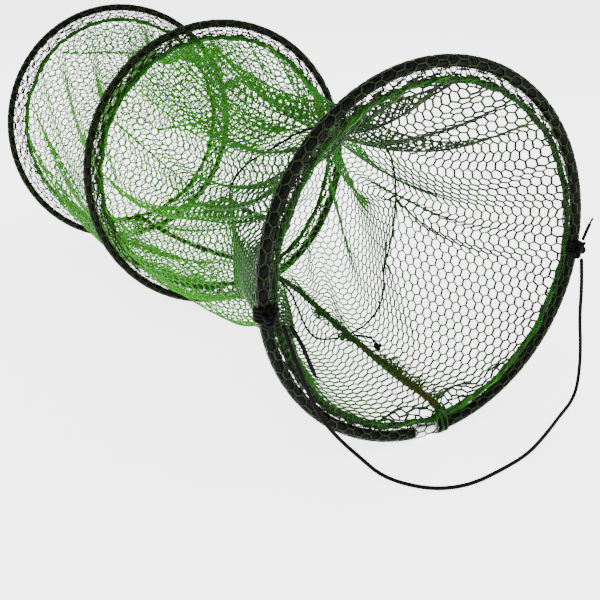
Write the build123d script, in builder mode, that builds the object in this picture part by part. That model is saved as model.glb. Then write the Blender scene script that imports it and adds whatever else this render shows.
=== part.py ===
from build123d import *
from math import cos, degrees, pi, radians, sin
import os

# A folding crab trap: three hoops of plastic tube over wire stand on edge on a common axis,
# joined by a sleeve of knotless net. The mouth hoop is open and carries the cord handle, the
# mid hoop is open, and the tail hoop is closed by a disc of net. Halfway along the front bay
# a thin draw cord gathers the net into a throat. The trap folds flat when the mid and tail
# hoops slide along the axis to the mouth hoop.
#
# Frame, in millimetres: Z is up and the hoops stand on Z = 0. Y runs along the trap, with the
# mouth at -Y. X is to the right, seen from the mouth. The origin is the middle of the hems' box.

# ---- Driving dimensions ----
OUTER = 155.3  # every hoop's radius over its net hem, so all three stand on the ground
AXIS_Z = OUTER  # height of the common axis
MOUTH_HEM = 5.3  # radius of a hem's round part, over the tube: the mouth's is the stoutest
REAR_HEM = 4.5
LENGTH = 684.6  # over the hems of the mouth and tail hoops
FRONT_BAY = 377.0  # mouth hoop to mid hoop
Y_MOUTH = MOUTH_HEM - LENGTH / 2
Y_MID = Y_MOUTH + FRONT_BAY
Y_TAIL = LENGTH / 2 - REAR_HEM

WIRE = 1.75  # radius of the spring-steel ring
TUBE_BORE = 2.5
SKIN = 0.5  # thickness of one layer of net as a plain solid
EASE = 0.05  # gap between a hem's net and the tube it is wrapped on
JOINT_ARC = 9.0  # degrees of hoop that the clear joint sleeve fills, at the bottom
JOINT_EASE = 0.1  # the sleeve's radius under the tube's, and the degrees it is short by
WIRE_GAP = 1.0  # degrees between the wire's two ends, inside the joint sleeve

LACE_RING = 137.0  # radius of the ring where the hem is laced to the walls
LACE = 1.2  # radius of the lacing bundle
LACE_GAP = 0.1  # between the lacing and the nets that end at it
WEB_OUT = 0.8  # the hem's two flat layers lie between these distances from the hoop's plane
WEB_IN = 0.3

WALL = 1.2  # wall net's thickness as a plain solid
WALL_START = 1.6  # gap from a hoop's plane to the wall net's end
THROAT_FROM_MOUTH = 180.0
Y_THROAT = Y_MOUTH + THROAT_FROM_MOUTH
THROAT_RADIUS = 125.2
THROAT_SIDE = 4.5  # the throat hangs this far to the right of the axis
THROAT_DROP = 23.8  # and this far below it
BELLY_RADIUS = 141.0  # the catch chamber's wall, halfway along the rear bay
BELLY_DROP = 6.3

# The lengthwise seam lies along the bottom. It meets each hoop this many degrees to the right
# of straight down, because the sleeve of net is a little twisted.
SEAM_TURN = {"mouth": 6.5, "mid": 22.0, "tail": 4.5}
SEAM = 1.6
TWINE = 0.45  # radius of the twine that lashes the seam to each hoop
TWINE_TURNS = 4
TURN_PITCH = 2.06  # turns of cord or twine lie this many of their radii apart
WRAP_GAP = 0.1  # between a hem and the cord that is wound round it
SLOT_EASE = 0.15  # turns stay this far clear of the hem's two flat layers

HANDLE = 1.55  # radius of the handle cord
HANDLE_TURNS = 3
KNOT_WIDTH = 4.2  # half-width of the handle's knots, in front of the hoop
KNOT_HEIGHT = 3.6
KNOT_DEPTH = 4.6
KNOT_ROUND = 1.6
KNOT_GAP = 0.3  # between the turns of the handle cord and the knot in front of them
RIGHT_KNOT_ANGLE = -5.2  # degrees above the axis where the handle is tied to the mouth hoop
LEFT_KNOT_ANGLE = -6.5
DRAW = 0.95  # radius of the draw cord
DRAW_KNOT_RADIUS = 3.0
ARC_SHARE = 0.45  # the share of a cord's shorter run that the arc of a bend takes

# The handle cord, right knot to left knot: right, along the trap from the mouth's plane, up.
HANDLE_ROUTE = [
    (151.5, -10.5, 133.0), (154.5, -11.5, 109.0), (156.0, -11.0, 80.0), (160.0, -12.5, 50.0),
    (161.5, -12.5, 27.0), (158.0, -14.5, 9.5), (146.0, -20.0, 1.6), (121.0, -33.0, 1.6),
    (87.0, -52.0, 1.6), (50.0, -70.0, 1.6), (15.0, -78.0, 1.6), (-18.0, -83.0, 1.6),
    (-44.0, -76.0, 1.6), (-61.0, -58.0, 1.6), (-73.0, -41.0, 5.0), (-84.0, -30.0, 17.5),
    (-97.0, -22.0, 32.0), (-111.0, -18.5, 51.0), (-120.5, -15.5, 73.0), (-128.0, -14.0, 94.0),
    (-134.5, -12.5, 113.0), (-139.5, -11.0, 130.5),
]
# The free end above the right knot, and the one below the left knot.
RIGHT_TAIL_ROUTE = [(150.5, -10.5, 150.0), (152.5, -11.5, 157.0), (156.5, -11.0, 163.5)]
LEFT_TAIL_ROUTE = [(-136.0, -15.0, 131.0), (-129.0, -19.0, 117.0), (-123.5, -18.5, 103.0),
                   (-118.0, -18.0, 91.0)]
# The draw cord, round the throat from knot to knot: right, along the trap from the throat, up.
DRAW_ROUTE = [
    (37.0, 0.0, 18.0), (51.0, 1.0, 19.5), (67.0, 2.0, 26.5), (80.0, 3.0, 40.0),
    (85.5, 4.0, 58.0), (84.0, 5.0, 79.0), (91.0, 5.0, 99.0), (95.0, 4.0, 126.0),
    (95.5, 3.0, 155.0), (91.5, 3.0, 185.0), (79.0, 4.0, 210.0), (52.0, 6.0, 223.5),
    (20.0, 7.0, 229.0), (-10.0, 8.0, 226.0), (-38.0, 8.0, 213.0), (-66.0, 7.0, 202.5),
    (-83.5, 5.0, 186.0), (-86.5, 3.0, 163.0), (-80.0, 1.0, 139.0), (-66.0, 1.0, 113.0),
    (-43.0, 2.0, 95.5), (-24.5, 3.0, 77.0), (-14.5, 3.0, 53.0), (-5.5, 2.0, 30.0),
    (9.0, 1.0, 17.5), (29.5, 0.0, 17.5),
]
DRAW_KNOT = (33.2, 0.0, 17.8)
# The draw cord's two ends lie forward of the knot, along the seam.
DRAW_TAIL_ROUTE = [(36.0, -5.0, 19.5), (42.0, -15.0, 23.0), (46.0, -27.0, 25.0),
                   (45.0, -39.0, 25.5), (41.0, -51.0, 24.0)]
# The seam: right, along the trap from the hoop it starts at, up. It lies just inside the net
# and is lifted off the ground between the throat and the mid hoop.
FRONT_SEAM_ROUTE = [
    (15.0, 8.0, 23.8), (21.0, 47.0, 21.5), (27.5, 90.0, 20.8), (30.5, 135.0, 22.0),
    (31.5, 180.0, 27.0), (33.0, 215.0, 31.5), (36.5, 250.0, 34.0), (41.5, 285.0, 34.5),
    (46.0, 320.0, 32.5), (49.5, 364.0, 31.5),
]
REAR_SEAM_ROUTE = [
    (49.0, 10.0, 31.0), (44.0, 55.0, 26.0), (36.0, 105.0, 22.5), (27.5, 150.0, 21.5),
    (20.5, 195.0, 22.5), (16.0, 240.0, 24.0), (12.5, 287.0, 26.5),
]


# ---- Shared helpers ----
def save(builder, name):
    builder.part.label = name
    export_step(builder.part, f"parts/{name}.step")


def hoop_axis(y):
    return Axis((0, y, AXIS_Z), (0, 1, 0))


def hoop_section(y, turn):
    """A plane through the trap's axis: local x is +Y and local y points out from the axis.

    turn is in degrees from straight down, towards -X.
    """
    outward = (-sin(radians(turn)), 0, -cos(radians(turn)))
    normal = Vector(0, 1, 0).cross(Vector(*outward))
    return Plane(origin=(0, y, AXIS_Z), x_dir=(0, 1, 0), z_dir=normal)


def cross_section(y):
    """A plane square to the trap's axis: local x is +Z and local y is +X."""
    return Plane(origin=(0, y, AXIS_Z), x_dir=(0, 0, 1), z_dir=(0, 1, 0))


def bend_radii(points):
    """The largest arc that each corner's two runs leave room for."""
    radii = []
    for before, corner, after in zip(points, points[1:], points[2:]):
        run_in = corner - before
        run_out = after - corner
        half_turn = radians(run_in.get_angle(run_out)) / 2
        shorter = min(run_in.length, run_out.length)
        radii.append(ARC_SHARE * shorter * cos(half_turn) / sin(half_turn))
    return radii


def cord_tube(points, radius, name):
    """One solid of straight runs joined by tangent arcs, written under name."""
    corners = [Vector(*point) for point in points]
    radii = bend_radii(corners)
    with BuildPart() as tube:
        with BuildLine():
            path = FilletPolyline(*corners, radius=radii)
        with BuildSketch(Plane(origin=path @ 0, z_dir=path % 0)):
            Circle(radius)
        sweep(path=path)
    expected = path.length * pi * radius**2
    print(f"{name}: length {path.length:.1f}, tightest bend {min(radii):.1f}, "
          f"volume ratio {tube.part.volume / expected:.4f}")
    save(tube, name)


def from_hoop(route, y):
    return [(x, y + along, z) for x, along, z in route]


# ---- Hoops ----
def hoop(prefix, y, hem):
    """The five pieces of one hoop: wire, tube, joint sleeve, net hem and lacing."""
    ring = OUTER - hem
    tube = hem - SKIN - EASE

    with BuildPart() as wire:
        with BuildSketch(hoop_section(y, WIRE_GAP / 2)):
            with Locations((0, ring)):
                Circle(WIRE)
        revolve(axis=hoop_axis(y), revolution_arc=360 - WIRE_GAP)
    save(wire, f"{prefix}_hoop_wire")

    with BuildPart() as sleeve:
        with BuildSketch(hoop_section(y, JOINT_ARC / 2)):
            with Locations((0, ring)):
                Circle(tube)
                Circle(TUBE_BORE, mode=Mode.SUBTRACT)
        revolve(axis=hoop_axis(y), revolution_arc=360 - JOINT_ARC)
    save(sleeve, f"{prefix}_hoop_tube")

    joint_arc = JOINT_ARC - JOINT_EASE
    with BuildPart() as joint:
        with BuildSketch(hoop_section(y, -joint_arc / 2)):
            with Locations((0, ring)):
                Circle(tube - JOINT_EASE)
                Circle(WIRE + EASE, mode=Mode.SUBTRACT)
        revolve(axis=hoop_axis(y), revolution_arc=joint_arc)
    save(joint, f"{prefix}_hoop_joint")

    # The net goes round the tube and comes back as two flat layers that end at the lacing.
    web_end = LACE_RING + LACE + LACE_GAP
    web_middle = (ring + web_end) / 2
    with BuildPart() as hem_net:
        with BuildSketch(hoop_section(y, 0)):
            with Locations((0, ring)):
                Circle(hem)
            with Locations((0, web_middle)):
                Rectangle(2 * WEB_OUT, ring - web_end)
                Rectangle(2 * WEB_IN, ring - web_end, mode=Mode.SUBTRACT)
            with Locations((0, ring)):
                Circle(hem - SKIN, mode=Mode.SUBTRACT)
        revolve(axis=hoop_axis(y), revolution_arc=360)
    save(hem_net, f"{prefix}_hem_net")

    with BuildPart() as lacing:
        with BuildSketch(hoop_section(y, 0)):
            with Locations((0, LACE_RING)):
                Circle(LACE)
        revolve(axis=hoop_axis(y), revolution_arc=360)
    save(lacing, f"{prefix}_hem_lacing")


def wrapped_turns(y, hem, turn, wire, turns):
    """Turns of cord round a hem, at turn degrees from straight down towards -X.

    Each is open where the hem's two flat layers pass between its ends.
    """
    ring = OUTER - hem
    pitch = degrees(TURN_PITCH * wire / ring)
    with BuildPart() as wrap:
        for index in range(turns):
            at = radians(turn + pitch * (index - (turns - 1) / 2))
            outward = Vector(-sin(at), 0, -cos(at))
            along = Vector(0, 1, 0).cross(outward)
            centre = Vector(0, y, AXIS_Z) + outward * ring
            with BuildSketch(Plane(origin=centre, x_dir=outward, z_dir=(0, 1, 0))):
                with Locations((hem + WRAP_GAP + wire, 0)):
                    Circle(wire)
            revolve(axis=Axis(centre, along), revolution_arc=360)
        with BuildSketch(hoop_section(y, 0)):
            with Locations((0, (LACE_RING + ring) / 2)):
                Rectangle(2 * (WEB_OUT + SLOT_EASE), ring - LACE_RING)
        revolve(axis=hoop_axis(y), revolution_arc=360, mode=Mode.SUBTRACT)
    return wrap.part


# ---- Nets ----
def front_wall():
    sections = [(Y_MOUTH + WALL_START, LACE_RING + WALL / 2, 0, 0),
                (Y_THROAT, THROAT_RADIUS, THROAT_SIDE, THROAT_DROP),
                (Y_MID - WALL_START, LACE_RING + WALL / 2, 0, 0)]
    wall_between(sections, "front_wall_net")


def rear_wall():
    sections = [(Y_MID + WALL_START, LACE_RING + WALL / 2, 0, 0),
                ((Y_MID + Y_TAIL) / 2, BELLY_RADIUS, 0, BELLY_DROP),
                (Y_TAIL - WALL_START, LACE_RING + WALL / 2, 0, 0)]
    wall_between(sections, "rear_wall_net")


def wall_between(sections, name):
    """A thin sleeve lofted through circles: y, outer radius, shift right, shift down."""
    with BuildPart() as wall:
        for y, radius, side, drop in sections:
            with BuildSketch(cross_section(y)):
                with Locations((-drop, side)):
                    Circle(radius)
        loft()
        for y, radius, side, drop in sections:
            with BuildSketch(cross_section(y)):
                with Locations((-drop, side)):
                    Circle(radius - WALL)
        loft(mode=Mode.SUBTRACT)
    save(wall, name)


def tail_end():
    with BuildPart() as disc:
        with BuildSketch(cross_section(Y_TAIL - WALL / 2)):
            Circle(LACE_RING - LACE - LACE_GAP)
        extrude(amount=WALL)
    save(disc, "tail_end_net")


# ---- Seams and lashings ----
def seam(route, y, name):
    cord_tube(from_hoop(route, y), SEAM, name)


def seam_lashing(prefix, y, hem):
    turns = wrapped_turns(y, hem, -SEAM_TURN[prefix], TWINE, TWINE_TURNS)
    with BuildPart() as lashing:
        add(turns)
    save(lashing, f"{prefix}_seam_lashing")


# ---- Cords ----
def handle_knot(side, turn, name):
    """Turns of the handle cord round the mouth hem and the knot in front of them."""
    ring = OUTER - MOUTH_HEM
    outward = Vector(-sin(radians(turn)), 0, -cos(radians(turn)))
    middle = Vector(0, Y_MOUTH, AXIS_Z) + outward * ring
    front = middle - Vector(0, MOUTH_HEM + 2 * HANDLE + KNOT_GAP, 0)
    turns = wrapped_turns(Y_MOUTH, MOUTH_HEM, turn, HANDLE, HANDLE_TURNS)
    with BuildPart() as knot:
        add(turns)
        with BuildSketch(Plane(origin=front, x_dir=(side, 0, 0), z_dir=(0, -1, 0))):
            Ellipse(KNOT_WIDTH, KNOT_HEIGHT)
        extrude(amount=KNOT_DEPTH)
        fillet(knot.edges().group_by(Axis.Y)[0], KNOT_ROUND)
    save(knot, name)


def draw_knot():
    with BuildPart() as knot:
        with Locations((DRAW_KNOT[0], Y_THROAT + DRAW_KNOT[1], DRAW_KNOT[2])):
            Sphere(DRAW_KNOT_RADIUS)
    save(knot, "draw_cord_knot")


os.makedirs("parts", exist_ok=True)
for prefix, y, hem in (("mouth", Y_MOUTH, MOUTH_HEM), ("mid", Y_MID, REAR_HEM),
                       ("tail", Y_TAIL, REAR_HEM)):
    hoop(prefix, y, hem)
    seam_lashing(prefix, y, hem)
front_wall()
rear_wall()
tail_end()
seam(FRONT_SEAM_ROUTE, Y_MOUTH, "front_side_seam")
seam(REAR_SEAM_ROUTE, Y_MID, "rear_side_seam")
handle_knot(1, -(90 + RIGHT_KNOT_ANGLE), "handle_knot_right")
handle_knot(-1, 90 + LEFT_KNOT_ANGLE, "handle_knot_left")
cord_tube(from_hoop(HANDLE_ROUTE, Y_MOUTH), HANDLE, "handle_cord")
cord_tube(from_hoop(RIGHT_TAIL_ROUTE, Y_MOUTH), HANDLE, "handle_tail_right")
cord_tube(from_hoop(LEFT_TAIL_ROUTE, Y_MOUTH), HANDLE, "handle_tail_left")
draw_knot()
cord_tube(from_hoop(DRAW_ROUTE, Y_THROAT), DRAW, "draw_cord")
cord_tube(from_hoop(DRAW_TAIL_ROUTE, Y_THROAT), DRAW, "draw_cord_tail")
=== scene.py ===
"""A folding crab trap: three sprung hoops in black tube, joined by a tube of green hexagonal
netting, with a drawn-in throat in the front bay, a netted tail end and a black cord handle.

Lengths are in millimetres here and become metres where a mesh is made. Z is up, the floor is at 0,
the mouth faces -Y and X is to the right when the trap is seen from the front.
"""

import math

import bpy
import numpy as np
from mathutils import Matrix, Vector, kdtree


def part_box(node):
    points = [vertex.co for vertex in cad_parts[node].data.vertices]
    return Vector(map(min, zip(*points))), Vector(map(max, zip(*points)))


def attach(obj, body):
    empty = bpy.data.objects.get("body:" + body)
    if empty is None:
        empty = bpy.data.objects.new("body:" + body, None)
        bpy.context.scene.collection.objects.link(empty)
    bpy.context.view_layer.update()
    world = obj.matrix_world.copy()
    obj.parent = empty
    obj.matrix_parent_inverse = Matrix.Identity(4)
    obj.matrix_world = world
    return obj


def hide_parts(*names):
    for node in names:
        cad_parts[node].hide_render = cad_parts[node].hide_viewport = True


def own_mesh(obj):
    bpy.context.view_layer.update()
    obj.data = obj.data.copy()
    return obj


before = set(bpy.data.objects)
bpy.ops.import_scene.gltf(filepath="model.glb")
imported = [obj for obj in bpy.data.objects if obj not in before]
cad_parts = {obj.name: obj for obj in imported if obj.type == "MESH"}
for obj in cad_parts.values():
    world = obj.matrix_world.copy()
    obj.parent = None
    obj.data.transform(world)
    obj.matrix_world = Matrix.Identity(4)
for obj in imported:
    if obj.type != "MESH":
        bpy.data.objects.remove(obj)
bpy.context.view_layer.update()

MM = 0.001
TURN = 2 * math.pi


# ------------------------------------------------------------------ sizes from the frame


def box_mm(node):
    """A node's lowest and highest corners in millimetres."""
    low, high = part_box(node)
    return np.array(low) / MM, np.array(high) / MM


class Hoop:
    """The sizes of one hoop, read from its nodes."""

    def __init__(self, name):
        self.name = name
        self.body = name + "_hoop"
        low, high = box_mm(name + "_hoop_wire")
        wire = (high[1] - low[1]) / 2
        self.y = (low[1] + high[1]) / 2
        self.z = (low[2] + high[2]) / 2
        self.radius = (high[0] - low[0]) / 2 - wire
        low, high = box_mm(name + "_hoop_tube")
        self.tube = (high[1] - low[1]) / 2
        low, high = box_mm(name + "_hoop_joint")
        self.joint = (low[0], high[0])
        low, high = box_mm(name + "_hem_lacing")
        self.lacing = (high[0] - low[0]) / 2 - (high[1] - low[1]) / 2
        low, high = box_mm(name + "_seam_lashing")
        self.seam = math.asin((low[0] + high[0]) / 2 / self.radius)

    def place(self, angle, radius, along=0.0):
        """Points on a circle about the hoop's axis. Angle 0 is the bottom and turns towards +X."""
        angle, radius, along = np.broadcast_arrays(angle, radius, along)
        x = radius * np.sin(angle)
        return np.stack([x, self.y + along, self.z - radius * np.cos(angle)], -1)


MOUTH, MIDDLE, TAIL = Hoop("mouth"), Hoop("mid"), Hoop("tail")
HOOPS = (MOUTH, MIDDLE, TAIL)
TAIL_DRAW = 7  # the net that closes the tail draws its lacing in, past the plain ring
TAIL.lacing -= TAIL_DRAW
THROAT_DEPTH = 180  # from the mouth to the draw cord
THROAT_Y = MOUTH.y + THROAT_DEPTH
LENGTH = TAIL.y - MOUTH.y


# ------------------------------------------------------------------ camera


EYE_RADII = (3.014, 3.817, 1.553)  # left, in front of and above the mouth, in hoop radii
EYE_TURN, EYE_DOWN = 30.14, 20.34  # degrees to the right of straight in, and below level


def make_camera():
    """Looks into the mouth from the left and above, as the reference view does."""
    left, front, up = np.array(EYE_RADII) * MOUTH.radius
    eye = Vector((-left, MOUTH.y - front, MOUTH.z + up)) * MM
    azimuth, down = math.radians(-EYE_TURN), math.radians(EYE_DOWN)
    forward = Vector(
        (
            -math.sin(azimuth) * math.cos(down),
            math.cos(azimuth) * math.cos(down),
            -math.sin(down),
        )
    )
    data = bpy.data.cameras.new("camera")
    data.lens = 58.35
    data.sensor_width = 36
    data.clip_start, data.clip_end = 0.01, 50
    camera = bpy.data.objects.new("camera", data)
    camera.location = eye
    camera.rotation_euler = forward.to_track_quat("-Z", "Y").to_euler()
    bpy.context.collection.objects.link(camera)
    bpy.context.scene.camera = camera


make_camera()


# ------------------------------------------------------------------ threads as meshes


def unit(vectors):
    return vectors / (np.linalg.norm(vectors, axis=-1, keepdims=True) + 1e-12)


def strand_frames(paths, closed):
    """Two directions across each point of each strand, carried along it without twist."""
    if closed:
        ahead = np.roll(paths, -1, 1) - np.roll(paths, 1, 1)
    else:
        ahead = np.gradient(paths, axis=1)
    tangent = unit(ahead)
    count = paths.shape[1]
    level = np.abs(tangent[:, 0, 1:2]) < 0.9
    seed = np.where(level, [[0.0, 1.0, 0.0]], [[1.0, 0.0, 0.0]])
    across = np.empty_like(paths)
    across[:, 0] = unit(np.cross(tangent[:, 0], seed))
    for i in range(1, count):
        carried = across[:, i - 1]
        along = np.sum(carried * tangent[:, i], -1, keepdims=True)
        across[:, i] = unit(carried - along * tangent[:, i])
    if closed:
        carried = across[:, -1]
        along = np.sum(carried * tangent[:, 0], -1, keepdims=True)
        carried = unit(carried - along * tangent[:, 0])
        sine = np.sum(np.cross(across[:, 0], carried) * tangent[:, 0], -1)
        cosine = np.sum(across[:, 0] * carried, -1)
        slip = -np.arctan2(sine, cosine)[:, None] * np.arange(count) / count
        side = np.cross(tangent, across)
        across = across * np.cos(slip)[..., None] + side * np.sin(slip)[..., None]
    return across, np.cross(tangent, across)


class Threads:
    """Collects round strands and makes one mesh of them."""

    def __init__(self):
        self.points = []
        self.faces = []
        self.tones = []
        self.count = 0

    def add(self, paths, radius, sides=4, closed=False, tone=0.0, ripple=None):
        """paths is n strands of k points. radius and tone are numbers or n by k numbers.
        ripple is n by k by sides numbers that scale the radius at each vertex."""
        paths = np.asarray(paths, float)
        if paths.ndim == 2:
            paths = paths[None]
        strands, count, _ = paths.shape
        across, side = strand_frames(paths, closed)
        angle = TURN * (np.arange(sides) + 0.5) / sides
        reach = np.broadcast_to(radius, (strands, count))[..., None]
        if ripple is not None:
            reach = reach * ripple
        ring = (
            paths[:, :, None]
            + across[:, :, None] * (reach * np.cos(angle))[..., None]
            + side[:, :, None] * (reach * np.sin(angle))[..., None]
        )
        index = self.count + np.arange(strands * count * sides).reshape(
            strands, count, sides
        )
        if closed:
            here, there = index, np.roll(index, -1, 1)
        else:
            here, there = index[:, :-1], index[:, 1:]
        quads = np.stack(
            [here, np.roll(here, -1, 2), np.roll(there, -1, 2), there], -1
        )
        self.faces += quads.reshape(-1, 4).tolist()
        if not closed:
            self.faces += index[:, 0, ::-1].tolist()
            self.faces += index[:, -1].tolist()
        self.points.append(ring.reshape(-1, 3))
        tones = np.broadcast_to(tone, (strands, count))[..., None]
        self.tones.append(
            np.broadcast_to(tones, (strands, count, sides)).reshape(-1).astype(float)
        )
        self.count += strands * count * sides

    def add_surface(self, grid, tone=0.0, closed=(False, False)):
        """grid is rows by columns of points, joined as one skin."""
        rows, columns, _ = grid.shape
        index = self.count + np.arange(rows * columns).reshape(rows, columns)
        down = np.roll(index, -1, 0) if closed[0] else index[1:]
        here = index if closed[0] else index[:-1]
        if closed[1]:
            quads = [here, np.roll(here, -1, 1), np.roll(down, -1, 1), down]
        else:
            quads = [here[:, :-1], here[:, 1:], down[:, 1:], down[:, :-1]]
        self.faces += np.stack(quads, -1).reshape(-1, 4).tolist()
        if closed[1] and not closed[0]:
            self.faces.append(index[0, ::-1].tolist())
            self.faces.append(index[-1].tolist())
        self.points.append(grid.reshape(-1, 3))
        self.tones.append(np.broadcast_to(tone, (rows, columns)).reshape(-1) * 1.0)
        self.count += rows * columns

    def piece(self, name, material):
        """The strands as an object in metres, with the tone of each vertex kept on it."""
        name += "_detail"
        mesh = bpy.data.meshes.new(name)
        points = np.concatenate(self.points) * MM
        mesh.from_pydata(points.tolist(), [], self.faces)
        mesh.shade_smooth()
        tone = mesh.attributes.new("tone", "FLOAT", "POINT")
        tone.data.foreach_set("value", np.concatenate(self.tones).astype(np.float32))
        mesh.materials.append(material)
        piece = bpy.data.objects.new(name, mesh)
        bpy.context.collection.objects.link(piece)
        return piece


def smooth_line(route, name):
    """The points of the smooth line that has the route, in millimetres, as control points."""
    curve = bpy.data.curves.new(name, "CURVE")
    curve.dimensions = "3D"
    curve.resolution_u = 20
    spline = curve.splines.new("NURBS")
    spline.points.add(len(route) - 1)
    for point, place in zip(spline.points, route):
        point.co = (place[0] * MM, place[1] * MM, place[2] * MM, 1)
    spline.order_u = 3
    spline.use_endpoint_u = True
    holder = bpy.data.objects.new(name, curve)
    mesh = bpy.data.meshes.new_from_object(holder)
    points = np.array([vertex.co for vertex in mesh.vertices]) / MM
    bpy.data.objects.remove(holder)
    bpy.data.meshes.remove(mesh)
    bpy.data.curves.remove(curve)
    return points


def path_length(points):
    return float(np.sum(np.linalg.norm(np.diff(points, axis=0), axis=1)))


def evenly(points, count):
    """count points at even steps along a line of points."""
    steps = np.linalg.norm(np.diff(points, axis=0), axis=1)
    travelled = np.concatenate([[0], np.cumsum(steps)])
    wanted = np.linspace(0, travelled[-1], count)
    return np.stack(
        [np.interp(wanted, travelled, points[:, k]) for k in range(3)], 1
    )


def smoothed(points, rounds):
    """The same line with its corners eased and its ends kept."""
    points = points.copy()
    for _ in range(rounds):
        middle = (points[:-2] + points[2:]) / 4 + points[1:-1] / 2
        points[1:-1] = middle
    return points


def wave(angle, seed, low, high, count=6):
    """A smooth closed wave of about -1 to 1 over one turn, from a few seeded sines."""
    random = np.random.default_rng(seed)
    total = np.zeros_like(angle)
    for turns in random.integers(low, high, count):
        total += np.sin(turns * angle + random.uniform(0, TURN)) * random.uniform(0.5, 1)
    return total / (0.5 * count)


# ------------------------------------------------------------------ materials


def material(name):
    """A new node material: (material, nodes, link function, shader)."""
    made = bpy.data.materials.new(name)
    made.use_nodes = True
    nodes = made.node_tree.nodes
    return made, nodes, made.node_tree.links.new, nodes["Principled BSDF"]


def coordinates(nodes, link, scale=(1, 1, 1)):
    """Object coordinates, in metres times scale."""
    place = nodes.new("ShaderNodeTexCoord")
    mapping = nodes.new("ShaderNodeMapping")
    mapping.inputs["Scale"].default_value = scale
    link(place.outputs["Object"], mapping.inputs["Vector"])
    return mapping.outputs["Vector"]


def noise(nodes, link, vector, scale, detail=3.0, roughness=0.5):
    made = nodes.new("ShaderNodeTexNoise")
    made.inputs["Scale"].default_value = scale
    made.inputs["Detail"].default_value = detail
    made.inputs["Roughness"].default_value = roughness
    link(vector, made.inputs["Vector"])
    return made.outputs["Fac"]


def ramp(nodes, link, value, stops):
    """A colour ramp with (place, colour) stops."""
    made = nodes.new("ShaderNodeValToRGB")
    elements = made.color_ramp.elements
    while len(elements) < len(stops):
        elements.new(0.5)
    for element, (place, colour) in zip(elements, stops):
        element.position = place
        element.color = (*colour, 1)
    link(value, made.inputs["Fac"])
    return made.outputs["Color"]


def mix(nodes, link, factor, first, second, blend="MIX"):
    made = nodes.new("ShaderNodeMix")
    made.data_type = "RGBA"
    made.blend_type = blend
    link(factor, made.inputs[0])
    for socket, value in ((made.inputs[6], first), (made.inputs[7], second)):
        if isinstance(value, tuple):
            socket.default_value = (*value, 1)
        else:
            link(value, socket)
    return made.outputs[2]


def remap(nodes, link, value, low, high, to_low, to_high):
    made = nodes.new("ShaderNodeMapRange")
    for socket, number in zip(list(made.inputs)[1:5], (low, high, to_low, to_high)):
        socket.default_value = number
    link(value, made.inputs["Value"])
    return made.outputs["Result"]


def bump(nodes, link, height, shader, strength, distance):
    made = nodes.new("ShaderNodeBump")
    made.inputs["Strength"].default_value = strength
    made.inputs["Distance"].default_value = distance
    link(height, made.inputs["Height"])
    link(made.outputs["Normal"], shader.inputs["Normal"])


def twine_material(name, stops, olive, speck, roughness):
    """Knotless nylon twine: colour by the tone on each vertex, which carries painted light and
    shade for the net, the hem and the mouth's lacing, mottled and faintly fibrous.
    """
    made, nodes, link, shader = material(name)
    tone = nodes.new("ShaderNodeAttribute")
    tone.attribute_name = "tone"
    place = coordinates(nodes, link)
    broad = noise(nodes, link, place, 38, 2)
    fine = noise(nodes, link, place, 900, 2)
    colour = ramp(nodes, link, tone.outputs["Fac"], stops)
    patches = remap(nodes, link, broad, 0.48, 0.72, 0, 0.55)
    colour = mix(nodes, link, patches, colour, olive)
    specks = remap(nodes, link, fine, 0.5, 0.8, 0, 0.6)
    colour = mix(nodes, link, specks, colour, speck)
    link(colour, shader.inputs["Base Color"])
    rough = remap(nodes, link, fine, 0.3, 0.7, roughness - 0.08, roughness + 0.1)
    link(rough, shader.inputs["Roughness"])
    shader.inputs["Specular IOR Level"].default_value = 0.1
    shader.inputs["Sheen Weight"].default_value = 0.0
    fibres = noise(nodes, link, place, 2600, 2)
    bump(nodes, link, fibres, shader, 0.5, 0.0002)
    return made


# The net's near-black low stops are painted shade for the net in the mouth.
NET = twine_material(
    "net_twine",
    [
        (0.0, (0.0010, 0.0042, 0.0008)),
        (0.3, (0.0025, 0.0260, 0.0008)),
        (0.6, (0.0100, 0.1150, 0.0018)),
        (1.0, (0.0300, 0.2400, 0.0040)),
    ],
    (0.0340, 0.0900, 0.0015),
    (0.0010, 0.0200, 0.0005),
    0.42,
)
HEM = twine_material(
    "hem_twine",
    [
        (0.0, (0.0030, 0.0070, 0.0015)),
        (0.5, (0.0110, 0.0230, 0.0040)),
        (1.0, (0.0240, 0.0430, 0.0080)),
    ],
    (0.0260, 0.0300, 0.0060),
    (0.0015, 0.0040, 0.0010),
    0.45,
)
LACING = twine_material(
    "lacing_twine",
    [
        (0.0, (0.0008, 0.0050, 0.0005)),
        (0.5, (0.0035, 0.0340, 0.0014)),
        (1.0, (0.0140, 0.1300, 0.0035)),
    ],
    (0.0080, 0.0200, 0.0020),
    (0.0006, 0.0030, 0.0005),
    0.5,
)
SEAM = twine_material(
    "seam_twine",
    [
        (0.0, (0.0060, 0.0560, 0.0020)),
        (0.5, (0.0120, 0.0420, 0.0022)),
        (1.0, (0.0460, 0.0420, 0.0050)),
    ],
    (0.0400, 0.0300, 0.0060),
    (0.0020, 0.0060, 0.0010),
    0.5,
)


def cord_material():
    """Black braided cord."""
    made, nodes, link, shader = material("black_cord")
    place = coordinates(nodes, link)
    fine = noise(nodes, link, place, 1400, 3)
    broad = noise(nodes, link, place, 60, 2)
    colour = ramp(
        nodes, link, fine, [(0.3, (0.0003, 0.0003, 0.0004)), (0.75, (0.002, 0.002, 0.0022))]
    )
    dusty = remap(nodes, link, broad, 0.45, 0.75, 0, 0.3)
    colour = mix(nodes, link, dusty, colour, (0.0035, 0.0035, 0.003))
    link(colour, shader.inputs["Base Color"])
    rough = remap(nodes, link, fine, 0.3, 0.7, 0.5, 0.7)
    link(rough, shader.inputs["Roughness"])
    shader.inputs["Specular IOR Level"].default_value = 0.04
    bump(nodes, link, fine, shader, 0.5, 0.0002)
    return made


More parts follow.
